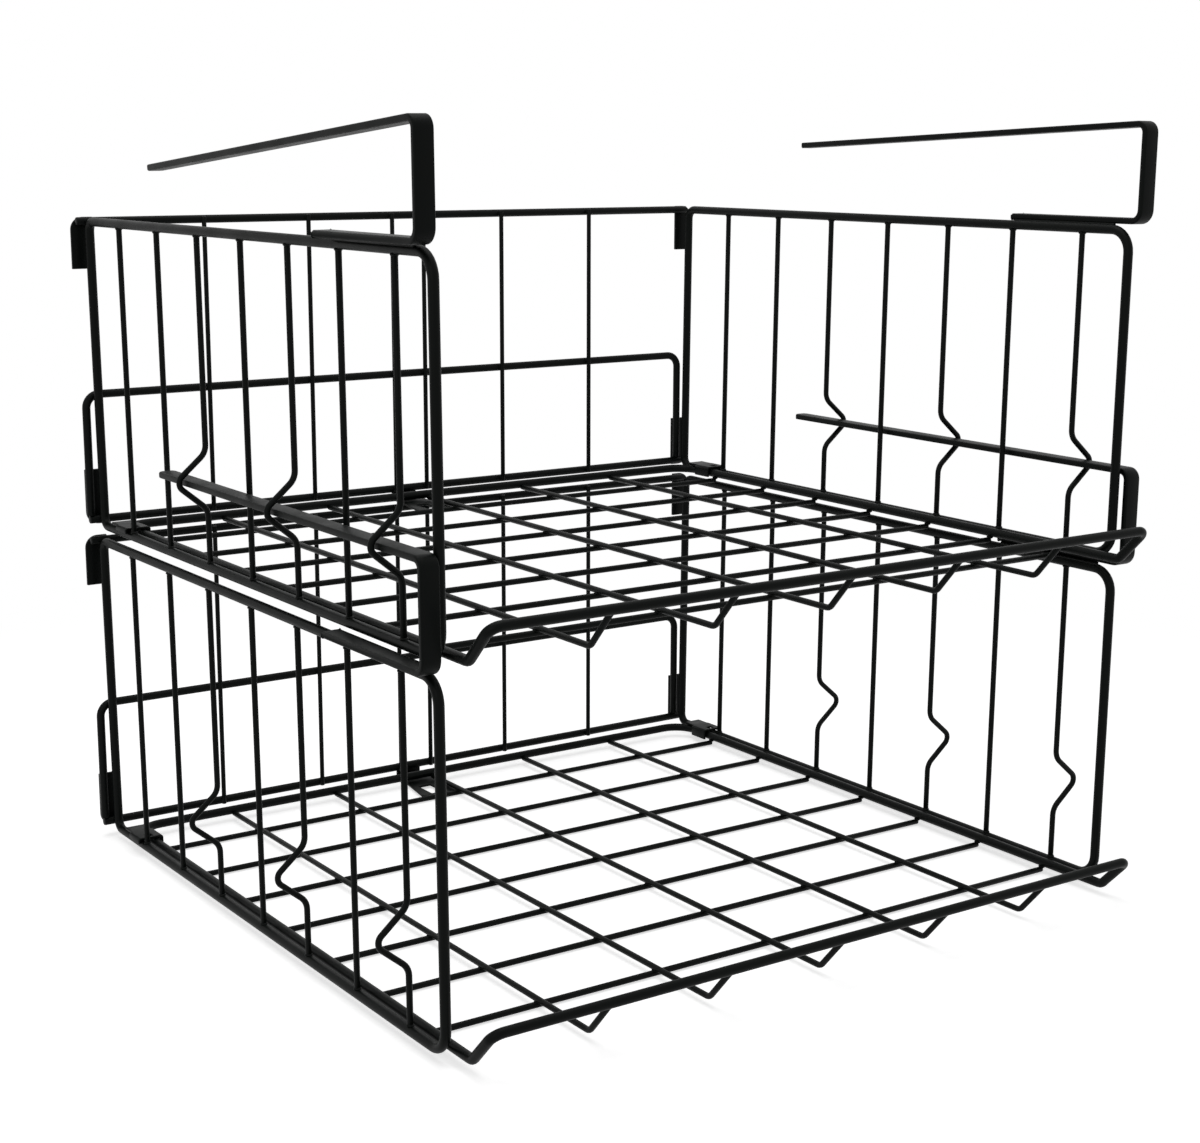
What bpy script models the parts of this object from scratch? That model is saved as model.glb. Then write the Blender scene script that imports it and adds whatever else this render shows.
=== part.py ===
"""Pair of under-shelf wire baskets: the lower one hangs by its arms from notches in the upper one.

Metres, +Z up, X from left to right, Y from front to back. The origin is on the ground, below the
middle of the pair. Each basket is built round its own empty: X = 0 in the middle, Y = 0 at the
front posts, Z = 0 at the centre line of the side frames' bottom rails.
"""
import bmesh
import bpy
from math import atan2, cos, pi, radians, sin, sqrt, tan
from mathutils import Quaternion, Vector

# The basket
SPAN = 0.320                    # between the two side frames' centre lines, at their bottom rails
DEPTH = 0.295                   # front post to back post of a side frame
HEIGHT = 0.133                  # bottom rail to top rail of a side frame
LEAN = radians(0.5)             # each side frame leans outward
CLEARANCE = 0.0003              # between two pieces that touch

# Wire diameters
FRAME_WIRE = 0.0039             # side frames and floor rim
BACK_WIRE = 0.0036              # rails and hoop of the back
THIN_WIRE = 0.0024              # side wires and floor wires
UPRIGHT_WIRE = 0.0021           # uprights of the back
WELD_SINK = 0.0003              # how far crossing wires of one grid are pressed into each other

# Side frames and their upright wires
FRAME_BEND = 0.009              # front corners
FRAME_BACK_BEND = 0.0045
WIRE_COUNT = 7
FIRST_WIRE = 0.025              # front post to the first side wire
LAST_WIRE_GAP = 0.0333          # last side wire to the back post
NOTCHED_WIRES = (1, 3, 5)       # counted from the front
NOTCH_SLOPE = radians(50.0)     # of a notch's legs, from upright
NOTCH_TIP_BEND = 0.0035
NOTCH_FOOT_BEND = 0.0065

# Hanging arms, bent from flat bar
BAR_WIDTH = 0.0075
BAR_THICKNESS = 0.0025
TONGUE_PLAY = 0.0004            # between a tongue and the front post that it passes
SHELF_GAP = 0.036               # clear height between foot and tongue, for the shelf
FOOT_LENGTH = 0.067             # front post to the foot's back end
TONGUE_LENGTH = 0.209           # front post to the tongue's tip
ARM_FOOT_BEND = 0.0045
ARM_TOP_BEND = 0.0035
BASKET_GAP = 0.0031             # clear height between the two baskets' rails
DROOP = {                       # of each tongue toward its tip
    "upper_left": radians(4.9),
    "upper_right": radians(2.5),
    "lower_left": radians(0.0),
    "lower_right": radians(0.0),
}

# Floor
RIM_INSET = 0.0052              # rim's sides, inside the side frames
RIM_RISE = 0.0004               # rim above the side frames' bottom rails
RIM_BACK_GAP = 0.007            # rim's back rail, in front of the back posts
RIM_BACK_BEND = 0.012
FLOOR_FRONT = 0.009             # where the floor turns up, in front of the front posts
LIP_REACH = 0.0225              # lip rail in front of the front posts
LIP_RISE = 0.0144               # lip rail above the side frames' bottom rails
LIP_CORNER_BEND = 0.0045
TURN_UP_BEND = 0.004
LONG_WIRES = 5

# Back
BACK_BOTTOM_RISE = 0.0025       # back bottom rail above the side frames' bottom rails
HOOP_RISE = 0.058
HOOP_BEND = 0.006
HOOP_OUTSET = 0.001             # hoop's legs beyond half the span
BACK_SHIFT = -0.0038            # hoop and uprights sit this far to the side
RAIL_OVERHANG = 0.0008          # rails beyond the hoop's left leg and beyond the right posts
UPRIGHT_PLACE_SHARES = (0.0525, 0.325, 0.647)   # of half the span, to each side of the middle

# Corner plates behind the back's ends
PLATE_WIDTH = 0.0098
PLATE_THICKNESS = 0.0015
PLATE_OUTSET = 0.001            # plate's middle, outside the post
TOP_PLATE_HEIGHT = 0.0223
BOTTOM_PLATE_HEIGHT = 0.0245
PLATE_CORNER = 0.0055

# Sheet clips that hold floor, sides and back together
SHEET = 0.0010
SIDE_CLIP_LENGTH = 0.0112
SIDE_CLIP_TAIL = 0.0075         # web behind the legs
SIDE_CLIP_GAP = 0.0008          # behind the last side wire
SIDE_CLIP_LEG = 0.0042          # inner leg below the web
SIDE_CLIP_OUTER_LEG = 0.00145   # outer leg below the web
CENTRE_CLIP_WIDTH = 0.013
CENTRE_CLIP_OVERLAP = 0.001     # right edge beyond the middle of the floor
CENTRE_CLIP_FLARE = 0.0065      # front edge wider to the left by this
CENTRE_CLIP_HEIGHT = 0.0060
CENTRE_CLIP_CORNER = 0.0035
CENTRE_SLOT_WIDTH = 0.0065
CENTRE_SLOT_LENGTH = 0.013
CENTRE_SLOT_MARGIN = 0.003      # slot from the clip's left edge and from its front edge

# Mesh
FRAME_SIDES = 8
THIN_SIDES = 6
BEND_STEPS = 4
CORNER_STEPS = 4
SMOOTH_ANGLE = radians(50.0)
CUT_OVERRUN = 0.002

# Worked out from the sizes above
FRAME_RADIUS = FRAME_WIRE / 2
BACK_RADIUS = BACK_WIRE / 2
THIN_RADIUS = THIN_WIRE / 2
UPRIGHT_RADIUS = UPRIGHT_WIRE / 2
BASKET_PITCH = HEIGHT + FRAME_WIRE + BASKET_GAP
WIRE_PITCH = (DEPTH - FIRST_WIRE - LAST_WIRE_GAP) / (WIRE_COUNT - 1)
FOOT_MIDDLE = HEIGHT + FRAME_RADIUS + CLEARANCE + BAR_THICKNESS / 2
TONGUE_MIDDLE = FOOT_MIDDLE + SHELF_GAP + BAR_THICKNESS
ARM_FRONT = -(FRAME_RADIUS + CLEARANCE + BAR_THICKNESS / 2)
NOTCH_HEIGHT = TONGUE_MIDDLE - BASKET_PITCH
BAR_INNER = FRAME_RADIUS + TONGUE_PLAY - BASKET_PITCH * tan(LEAN)
TONGUE_EDGE = FRAME_RADIUS + TONGUE_PLAY + BAR_WIDTH
TIP_INNER_BEND = NOTCH_TIP_BEND - THIN_RADIUS
TIP_SAG = TIP_INNER_BEND - sqrt(TIP_INNER_BEND ** 2 - (BAR_THICKNESS / 2) ** 2)
NOTCH_REACH = TONGUE_EDGE + CLEARANCE + TIP_SAG + THIN_RADIUS
NOTCH_POINT = NOTCH_REACH + NOTCH_TIP_BEND * (sqrt(1 + tan(NOTCH_SLOPE) ** 2) - 1)
NOTCH_HALF_HEIGHT = NOTCH_POINT / tan(NOTCH_SLOPE)
LAST_WIRE = DEPTH - LAST_WIRE_GAP
HOOP_HALF_WIDTH = SPAN / 2 + HOOP_OUTSET
RIM_HALF_WIDTH = SPAN / 2 - RIM_INSET
RIM_BACK = DEPTH - RIM_BACK_GAP
CROSS_WIRE_HEIGHT = RIM_RISE - FRAME_RADIUS - CLEARANCE - THIN_RADIUS
LONG_WIRE_HEIGHT = CROSS_WIRE_HEIGHT + THIN_WIRE - WELD_SINK
BACK_PLANE = DEPTH + FRAME_RADIUS + CLEARANCE + BACK_RADIUS
UPRIGHT_PLANE = BACK_PLANE - BACK_RADIUS - UPRIGHT_RADIUS + WELD_SINK
PLATE_FRONT = BACK_PLANE + BACK_RADIUS + CLEARANCE
PLATE_BACK = PLATE_FRONT + PLATE_THICKNESS
GROUND = CROSS_WIRE_HEIGHT - THIN_RADIUS
MIDDLE_Y = (PLATE_BACK - LIP_REACH - FRAME_RADIUS) / 2


def bent_path(corners, bends, closed=False):
    """Points of a wire's centre line: straight runs between corners, each corner bent to its radius."""
    corners = [Vector(corner) for corner in corners]
    points = []
    for index, corner in enumerate(corners):
        if not closed and index in (0, len(corners) - 1):
            points.append(corner)
            continue
        before = (corner - corners[index - 1]).normalized()
        after = (corners[(index + 1) % len(corners)] - corner).normalized()
        turn = before.angle(after)
        inward = (after - before).normalized()
        middle = corner + inward * (bends[index] / cos(turn / 2))
        axis = before.cross(after).normalized()
        start = corner - before * (bends[index] * tan(turn / 2)) - middle
        for step in range(BEND_STEPS + 1):
            points.append(middle + Quaternion(axis, turn * step / BEND_STEPS) @ start)
    return points


def finished(name, bm):
    """Mesh from a bmesh, with outward faces, and smooth except at its sharp edges."""
    bmesh.ops.recalc_face_normals(bm, faces=bm.faces)
    mesh = bpy.data.meshes.new(name)
    bm.to_mesh(mesh)
    bm.free()
    mesh.shade_smooth()
    mesh.set_sharp_from_angle(angle=SMOOTH_ANGLE)
    return mesh


def wire_mesh(name, path, diameter, sides, closed=False):
    """Round wire along a path, its rings carried along without twist."""
    bm = bmesh.new()
    count = len(path)
    directions = []
    for index, point in enumerate(path):
        onward = path[(index + 1) % count] - point
        back = point - path[index - 1]
        if not closed and index == 0:
            back = onward
        if not closed and index == count - 1:
            onward = back
        directions.append((onward.normalized() + back.normalized()).normalized())
    upright = abs(directions[0].z) > abs(directions[0].x) + abs(directions[0].y)
    aside = Vector((1, 0, 0)) if upright else Vector((0, 0, 1))
    normal = (aside - directions[0] * aside.dot(directions[0])).normalized()
    rings = []
    for index, point in enumerate(path):
        if index:
            normal = directions[index - 1].rotation_difference(directions[index]) @ normal
        side = directions[index].cross(normal)
        angles = [2 * pi * step / sides for step in range(sides)]
        ring = [point + (normal * cos(angle) + side * sin(angle)) * (diameter / 2) for angle in angles]
        rings.append([bm.verts.new(place) for place in ring])
    pairs = list(zip(rings, rings[1:]))
    if closed:
        pairs.append((rings[-1], rings[0]))
    else:
        bm.faces.new(rings[0])
        bm.faces.new(rings[-1])
    for first, second in pairs:
        for step in range(sides):
            following = (step + 1) % sides
            bm.faces.new((first[step], first[following], second[following], second[step]))
    return finished(name, bm)


def prism_mesh(name, outline, place, start, end):
    """Flat outline pushed from start to end; place turns (u, v, w) into a point."""
    bm = bmesh.new()
    first = [bm.verts.new(place(u, v, start)) for u, v in outline]
    second = [bm.verts.new(place(u, v, end)) for u, v in outline]
    bm.faces.new(first)
    bm.faces.new(second)
    for index in range(len(outline)):
        following = (index + 1) % len(outline)
        bm.faces.new((first[index], first[following], second[following], second[index]))
    return finished(name, bm)


def bar_outline(path, thickness):
    """Closed outline of a flat bar seen edge-on, from the centre line (u, v) of its bend."""
    left = []
    right = []
    for index, (u, v) in enumerate(path):
        u0, v0 = path[max(index - 1, 0)]
        u1, v1 = path[min(index + 1, len(path) - 1)]
        heading = atan2(v1 - v0, u1 - u0)
        across = (-sin(heading) * thickness / 2, cos(heading) * thickness / 2)
        left.append((u + across[0], v + across[1]))
        right.append((u - across[0], v - across[1]))
    return left + right[::-1]


def combined(name, base, others, operation):
    """One mesh from several by exact Booleans, made with objects that are removed again."""
    collection = bpy.data.collections.new(name)
    for index, mesh in enumerate(others):
        collection.objects.link(bpy.data.objects.new(f"{name}_{index}", mesh))
    bpy.context.scene.collection.children.link(collection)
    body = bpy.data.objects.new(name, base)
    bpy.context.scene.collection.objects.link(body)
    joining = body.modifiers.new("Joining", "BOOLEAN")
    joining.operation = operation
    joining.solver = "EXACT"
    joining.operand_type = "COLLECTION"
    joining.collection = collection
    evaluated = body.evaluated_get(bpy.context.evaluated_depsgraph_get())
    mesh = bpy.data.meshes.new_from_object(evaluated)
    mesh.name = name
    for leftover in list(collection.objects) + [body]:
        bpy.data.objects.remove(leftover)
    bpy.data.collections.remove(collection)
    mesh.shade_smooth()
    mesh.set_sharp_from_angle(angle=SMOOTH_ANGLE)
    return mesh


def coating(name, colour, roughness, metallic):
    """Black powder coating of one kind of piece."""
    material = bpy.data.materials.new(name)
    material.use_nodes = True
    shader = material.node_tree.nodes["Principled BSDF"]
    shader.inputs["Base Color"].default_value = (*colour, 1)
    shader.inputs["Roughness"].default_value = roughness
    shader.inputs["Metallic"].default_value = metallic
    material.diffuse_color = (*colour, 1)
    return material


def placed(name, mesh, parent, material):
    """Object of its own for one piece, in its parent's coordinates."""
    piece = bpy.data.objects.new(name, mesh)
    bpy.context.scene.collection.objects.link(piece)
    piece.parent = parent
    if not mesh.materials:
        mesh.materials.append(material)
    return piece


def empty(name, location, parent=None, tilt=0.0):
    """Empty that carries a basket or a leaning side."""
    holder = bpy.data.objects.new(name, None)
    bpy.context.scene.collection.objects.link(holder)
    holder.location = location
    holder.rotation_euler = (0, tilt, 0)
    holder.parent = parent
    return holder


def side_frame():
    """Closed ring of wire with four bent corners, in the plane X = 0."""
    corners = [(0, 0, 0), (0, DEPTH, 0), (0, DEPTH, HEIGHT), (0, 0, HEIGHT)]
    bends = [FRAME_BEND, FRAME_BACK_BEND, FRAME_BACK_BEND, FRAME_BEND]
    path = bent_path(corners, bends, closed=True)
    return wire_mesh("side_frame", path, FRAME_WIRE, FRAME_SIDES, closed=True)


def side_wire(outward, notched):
    """Upright wire between bottom and top rail, straight or with the notch that holds a tongue."""
    low = FRAME_RADIUS + CLEARANCE
    high = HEIGHT - low
    corners = [(0, 0, low), (0, 0, high)]
    bends = [0, 0]
    if notched:
        notch = [
            (0, 0, NOTCH_HEIGHT - NOTCH_HALF_HEIGHT),
            (outward * NOTCH_POINT, 0, NOTCH_HEIGHT),
            (0, 0, NOTCH_HEIGHT + NOTCH_HALF_HEIGHT),
        ]
        corners[1:1] = notch
        bends[1:1] = [NOTCH_FOOT_BEND, NOTCH_TIP_BEND, NOTCH_FOOT_BEND]
    return wire_mesh("side_wire", bent_path(corners, bends), THIN_WIRE, THIN_SIDES)


def arm(outward, droop):
    """Flat bar bent three times: foot on the top rail, upright, and tongue over the shelf."""
    fall = (TONGUE_LENGTH - ARM_FRONT) * tan(droop)
    corners = [
        (0, FOOT_LENGTH, FOOT_MIDDLE),
        (0, ARM_FRONT, FOOT_MIDDLE),
        (0, ARM_FRONT, TONGUE_MIDDLE),
        (0, TONGUE_LENGTH, TONGUE_MIDDLE - fall),
    ]
    path = bent_path(corners, [0, ARM_FOOT_BEND, ARM_TOP_BEND, 0])
    outline = bar_outline([(point.y, point.z) for point in path], BAR_THICKNESS)
    inner = outward * BAR_INNER
    outer = outward * (BAR_INNER + BAR_WIDTH)
    return prism_mesh("arm", outline, lambda u, v, w: (w, u, v), inner, outer)


def floor_rim():
    """Closed ring of wire round the floor, turned up and forward into the lip at the front."""
    corners = []
    for side in (-1, 1):
        edge = side * RIM_HALF_WIDTH
        stretch = [
            (edge, RIM_BACK, RIM_RISE),
            (edge, -FLOOR_FRONT, RIM_RISE),
            (edge, -LIP_REACH, LIP_RISE),
        ]
        corners += stretch[::-side]
    bends = [RIM_BACK_BEND, TURN_UP_BEND, LIP_CORNER_BEND]
    path = bent_path(corners, bends[::-1] + bends, closed=True)
    return wire_mesh("floor_rim", path, FRAME_WIRE, FRAME_SIDES, closed=True)


def floor_grid():
    """Cross wires under the rim and long wires welded on them, which run on up to the lip."""
    wires = []
    for index in range(WIRE_COUNT):
        place = FIRST_WIRE + index * WIRE_PITCH
        ends = [Vector((side * RIM_HALF_WIDTH, place, CROSS_WIRE_HEIGHT)) for side in (-1, 1)]
        wires.append(wire_mesh("cross_wire", ends, THIN_WIRE, THIN_SIDES))
    turn = Vector((0, -FLOOR_FRONT, LONG_WIRE_HEIGHT))
    rise = Vector((0, -LIP_REACH, LIP_RISE)) - turn
    short_of_lip = (rise.length - FRAME_RADIUS - CLEARANCE) / rise.length
    back_end = RIM_BACK - FRAME_RADIUS - CLEARANCE
    for index in range(LONG_WIRES):
        aside = Vector((SPAN * ((index + 1) / (LONG_WIRES + 1) - 1 / 2), 0, 0))
        corners = [Vector((0, back_end, LONG_WIRE_HEIGHT)), turn, turn + rise * short_of_lip]
        path = bent_path([corner + aside for corner in corners], [0, TURN_UP_BEND, 0])
        wires.append(wire_mesh("long_wire", path, THIN_WIRE, THIN_SIDES))
    return combined("floor_grid", wires[-1], wires[:-1], "UNION")


def back_rail(post, height):
    """Straight rail of the back, from past the hoop's left leg to past the right post."""
    left = BACK_SHIFT - HOOP_HALF_WIDTH - RAIL_OVERHANG
    ends = [Vector((left, BACK_PLANE, height)), Vector((post + RAIL_OVERHANG, BACK_PLANE, height))]
    return wire_mesh("back_rail", ends, BACK_WIRE, FRAME_SIDES)


def back_grid():
    """Hoop standing on the bottom rail's ends, with the uprights welded to its front."""
    low = BACK_BOTTOM_RISE + BACK_WIRE + CLEARANCE
    left = BACK_SHIFT - HOOP_HALF_WIDTH
    right = BACK_SHIFT + HOOP_HALF_WIDTH
    corners = [(left, BACK_PLANE, low), (left, BACK_PLANE, HOOP_RISE)]
    corners += [(right, BACK_PLANE, HOOP_RISE), (right, BACK_PLANE, low)]
    path = bent_path(corners, [0, HOOP_BEND, HOOP_BEND, 0])
    hoop = wire_mesh("hoop", path, BACK_WIRE, FRAME_SIDES)
    lap = BACK_PLANE - UPRIGHT_PLANE - UPRIGHT_RADIUS
    short = sqrt(BACK_RADIUS ** 2 - lap ** 2) + CLEARANCE
    uprights = []
    for share in UPRIGHT_PLACE_SHARES:
        for side in (-1, 1):
            foot = Vector((BACK_SHIFT + side * share * SPAN / 2, UPRIGHT_PLANE, BACK_BOTTOM_RISE + short))
            head = Vector((foot.x, foot.y, HEIGHT - short))
            uprights.append(wire_mesh("upright", [foot, head], UPRIGHT_WIRE, THIN_SIDES))
    return combined("back_grid", hoop, uprights, "UNION")


def corner_plate(outward, low, high, round_top):
    """Upright plate behind a corner of the back, with its outer corner rounded."""
    inner = outward * (PLATE_OUTSET - PLATE_WIDTH / 2)
    outer = outward * (PLATE_OUTSET + PLATE_WIDTH / 2)
    rounded, square = (high, low) if round_top else (low, high)
    into = 1 if round_top else -1
    outline = [(inner, rounded), (inner, square), (outer, square)]
    for step in range(CORNER_STEPS + 1):
        angle = pi / 2 * step / CORNER_STEPS
        across = outer - outward * PLATE_CORNER * (1 - cos(angle))
        outline.append((across, rounded - into * PLATE_CORNER * (1 - sin(angle))))
    return prism_mesh("corner_plate", outline, lambda u, v, w: (u, w, v), PLATE_FRONT, PLATE_BACK)


def side_clip(outward):
    """Sheet saddle over the floor rim and the side frame's bottom rail, with a flat tail behind."""
    reach_in = RIM_INSET + FRAME_RADIUS + CLEARANCE
    reach_out = FRAME_RADIUS + CLEARANCE
    inner = -reach_in - SHEET
    outer = reach_out + SHEET
    under = RIM_RISE + FRAME_RADIUS + CLEARANCE
    low = under - SIDE_CLIP_LEG
    outer_low = under - SIDE_CLIP_OUTER_LEG
    top = under + SHEET
    outline = [
        (inner, low),
        (-reach_in, low),
        (-reach_in, under),
        (reach_out, under),
        (reach_out, outer_low),
        (outer, outer_low),
        (outer, top),
        (inner, top),
    ]
    front = LAST_WIRE + THIN_RADIUS + SIDE_CLIP_GAP
    back = front + SIDE_CLIP_LENGTH
    saddle = prism_mesh("side_clip", outline, lambda u, v, w: (outward * u, w, v), front, back)
    web = [(inner, under), (outer, under), (outer, top), (inner, top)]
    tail = prism_mesh("tail", web, lambda u, v, w: (outward * u, w, v),
                      front + SHEET, back + SIDE_CLIP_TAIL)
    return combined("side_clip", saddle, [tail], "UNION")


def centre_clip():
    """Sheet tongue under the floor wires, turned up behind the back bottom rail, with a slot."""
    top = LONG_WIRE_HEIGHT - THIN_RADIUS - CLEARANCE
    front = LAST_WIRE + THIN_RADIUS + CLEARANCE
    turn = BACK_PLANE + BACK_RADIUS + CLEARANCE
    outline = [
        (front, top),
        (turn, top),
        (turn, top + CENTRE_CLIP_HEIGHT),
        (turn + SHEET, top + CENTRE_CLIP_HEIGHT),
        (turn + SHEET, top - SHEET),
        (front, top - SHEET),
    ]
    right = CENTRE_CLIP_OVERLAP
    left = right - CENTRE_CLIP_WIDTH
    tongue = prism_mesh("centre_clip", outline, lambda u, v, w: (w, u, v), left, right)
    bm = bmesh.new()
    bm.from_mesh(tongue)
    for vertex in bm.verts:
        if vertex.co.y < front + CLEARANCE and vertex.co.x < left + CLEARANCE:
            vertex.co.x -= CENTRE_CLIP_FLARE
    upright = [edge for edge in bm.edges
               if all(vertex.co.y < front + CLEARANCE for vertex in edge.verts)
               and abs(edge.verts[0].co.x - edge.verts[1].co.x) < CLEARANCE]
    bmesh.ops.bevel(bm, geom=upright, offset=CENTRE_CLIP_CORNER, segments=CORNER_STEPS,
                    profile=0.5, affect="EDGES")
    rounded = finished("centre_clip", bm)
    slot_front = front + CENTRE_SLOT_MARGIN
    slot_left = left - CENTRE_CLIP_FLARE / 2 + CENTRE_SLOT_MARGIN
    slot = [
        (slot_left, slot_front),
        (slot_left + CENTRE_SLOT_WIDTH, slot_front),
        (slot_left + CENTRE_SLOT_WIDTH, slot_front + CENTRE_SLOT_LENGTH),
        (slot_left, slot_front + CENTRE_SLOT_LENGTH),
    ]
    cutter = prism_mesh("slot", slot, lambda u, v, w: (u, v, w),
                        top - SHEET - CUT_OVERRUN, top + CUT_OVERRUN)
    return combined("centre_clip", rounded, [cutter], "DIFFERENCE")


def build_side(basket, side, outward, meshes, coats):
    """One leaning side of a basket: frame, upright wires, arm, corner plates and clip."""
    label = f"{basket.name}_{side}"
    panel = empty(f"{label}_side", (outward * SPAN / 2, 0, 0), basket, outward * LEAN)
    placed(f"{label}_frame", meshes["side_frame"], panel, coats["frame"])
    for index in range(WIRE_COUNT):
        kind = "notched" if index + 1 in NOTCHED_WIRES else "straight"
        wire = placed(f"{label}_wire_{index + 1}", meshes[f"{kind}_{side}"], panel, coats["wire"])
        wire.location.y = FIRST_WIRE + index * WIRE_PITCH
    placed(f"{label}_arm", arm(outward, DROOP[label]), panel, coats["bar"])
    top = placed(f"{label}_top_plate", meshes[f"top_plate_{side}"], basket, coats["plate"])
    top.location.x = outward * (SPAN / 2 + HEIGHT * tan(LEAN))
    bottom = placed(f"{label}_bottom_plate", meshes[f"bottom_plate_{side}"], basket, coats["plate"])
    bottom.location.x = outward * SPAN / 2
    clip = placed(f"{label}_side_clip", meshes[f"side_clip_{side}"], basket, coats["plate"])
    clip.location.x = outward * SPAN / 2


def build_basket(name, height, meshes, coats):
    """One whole basket round its empty."""
    basket = empty(name, (0, -MIDDLE_Y, height))
    placed(f"{name}_floor_rim", meshes["floor_rim"], basket, coats["frame"])
    placed(f"{name}_floor_grid", meshes["floor_grid"], basket, coats["wire"])
    placed(f"{name}_back_top_rail", meshes["back_top_rail"], basket, coats["frame"])
    placed(f"{name}_back_bottom_rail", meshes["back_bottom_rail"], basket, coats["frame"])
    placed(f"{name}_back_grid", meshes["back_grid"], basket, coats["wire"])
    placed(f"{name}_centre_clip", meshes["centre_clip"], basket, coats["plate"])
    for side, outward in (("left", -1), ("right", 1)):
        build_side(basket, side, outward, meshes, coats)


def build_model():
    """Both baskets, from meshes that they share."""
    for leftover in list(bpy.data.objects):
        bpy.data.objects.remove(leftover)
    coats = {
        "frame": coating("black_coat_frame_wire", (0.010, 0.011, 0.012), 0.38, 0.0),
        "wire": coating("black_coat_thin_wire", (0.012, 0.013, 0.014), 0.40, 0.0),
        "bar": coating("black_coat_flat_bar", (0.008, 0.009, 0.010), 0.42, 0.0),
        "plate": coating("black_coat_sheet", (0.009, 0.010, 0.011), 0.45, 0.0),
    }
    top_post = SPAN / 2 + HEIGHT * tan(LEAN)
    plate_top = HEIGHT + BACK_RADIUS
    meshes = {
        "side_frame": side_frame(),
        "floor_rim": floor_rim(),
        "floor_grid": floor_grid(),
        "back_top_rail": back_rail(top_post, HEIGHT),
        "back_bottom_rail": back_rail(SPAN / 2, BACK_BOTTOM_RISE),
        "back_grid": back_grid(),
        "centre_clip": centre_clip(),
    }
    for side, outward in (("left", -1), ("right", 1)):
        meshes[f"straight_{side}"] = side_wire(outward, notched=False)
        meshes[f"notched_{side}"] = side_wire(outward, notched=True)
        meshes[f"top_plate_{side}"] = corner_plate(
            outward, plate_top - TOP_PLATE_HEIGHT, plate_top, round_top=True)
        meshes[f"bottom_plate_{side}"] = corner_plate(outward, 0, BOTTOM_PLATE_HEIGHT, round_top=False)
        meshes[f"side_clip_{side}"] = side_clip(outward)
    build_basket("lower", -GROUND, meshes, coats)
    build_basket("upper", -GROUND + BASKET_PITCH, meshes, coats)


build_model()
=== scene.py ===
"""Looks of a pair of under-shelf wire baskets in black powder coating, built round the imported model."""

from math import ceil, cos, pi, radians, sin, sqrt, tan

import bmesh
import bpy
from mathutils import Matrix, Vector


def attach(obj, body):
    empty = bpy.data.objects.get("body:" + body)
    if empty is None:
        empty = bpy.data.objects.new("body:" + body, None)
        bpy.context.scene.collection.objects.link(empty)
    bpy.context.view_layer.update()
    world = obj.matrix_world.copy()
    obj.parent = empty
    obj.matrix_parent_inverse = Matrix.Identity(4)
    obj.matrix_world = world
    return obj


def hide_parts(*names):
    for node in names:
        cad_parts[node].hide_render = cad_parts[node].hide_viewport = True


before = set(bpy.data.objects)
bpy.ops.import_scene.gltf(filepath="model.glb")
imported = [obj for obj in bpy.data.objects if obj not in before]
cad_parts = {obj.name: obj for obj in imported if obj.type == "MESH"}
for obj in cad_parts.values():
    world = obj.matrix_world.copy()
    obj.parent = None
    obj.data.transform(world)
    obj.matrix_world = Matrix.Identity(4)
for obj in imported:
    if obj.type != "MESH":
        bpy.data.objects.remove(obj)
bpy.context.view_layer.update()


# The view: a little above the upper basket's rails, from the front and far to the left.
# Its place, turn and lens come from lining up the wires with the photograph, 1200 pixels wide.
IMAGE_WIDTH = 1200
FOCAL_PIXELS = 2094.8
SENSOR_WIDTH = 36.0             # millimetres
NEAREST_SEEN = 0.01
VIEW_PLACE = Vector((-0.49660, -0.72151, 0.31165))
VIEW_RIGHT = Vector((0.82458, -0.56569, 0.00276))
VIEW_DOWN = Vector((-0.11158, -0.16739, -0.97953))
lens = bpy.data.cameras.new("view")
lens.sensor_width = SENSOR_WIDTH
lens.lens = SENSOR_WIDTH * FOCAL_PIXELS / IMAGE_WIDTH
lens.clip_start = NEAREST_SEEN
camera = bpy.data.objects.new("view", lens)
bpy.context.scene.collection.objects.link(camera)
view_up = -VIEW_DOWN.normalized()
view_back = VIEW_RIGHT.cross(view_up).normalized()
view_axes = Matrix((view_up.cross(view_back), view_up, view_back)).transposed()
camera.matrix_world = Matrix.Translation(VIEW_PLACE) @ view_axes.to_4x4()
bpy.context.scene.camera = camera
bpy.context.scene.view_settings.view_transform = "Standard"


# The studio: matt white paper under the baskets, a wide softbox overhead and a dim one at the left.
# The paper is lit up to plain white, so that only the baskets' faint shadow shows on it.
def linear(colour):
    """Linear RGBA of an sRGB colour written as hex."""
    shares = [int(colour[place:place + 2], 16) / 255 for place in (1, 3, 5)]
    return [s / 12.92 if s <= 0.04045 else ((s + 0.055) / 1.055) ** 2.4 for s in shares] + [1.0]


def add_node(tree, kind, inputs=None, **settings):
    """New node with its settings; an input is a value or another node's output."""
    node = tree.nodes.new(kind)
    for name, value in settings.items():
        setattr(node, name, value)
    for name, value in (inputs or {}).items():
        if isinstance(value, bpy.types.NodeSocket):
            tree.links.new(value, node.inputs[name])
        else:
            node.inputs[name].default_value = value
    return node


def seen_rays(tree):
    """1 for a ray that shows the background: straight to the camera, off a gloss or through glass."""
    path = add_node(tree, "ShaderNodeLightPath")
    seen = path.outputs["Is Camera Ray"]
    for kind in ("Glossy", "Transmission"):
        either = add_node(tree, "ShaderNodeMath", {0: seen, 1: path.outputs[f"Is {kind} Ray"]},
                          operation="MAXIMUM")
        seen = either.outputs[0]
    return seen


ROOM_LIGHT = 0.35               # of plain white, from all round
PAPER_SIZE = 6.0
PAPER_DROP = 0.0003             # below the lowest wire
PAPER_LIT_FROM = 0.30           # the paper turns plain white between these two distances
PAPER_LIT_TO = 0.60
PAPER_GLOW = 0.62               # lifts the paper near the baskets to white

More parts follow.
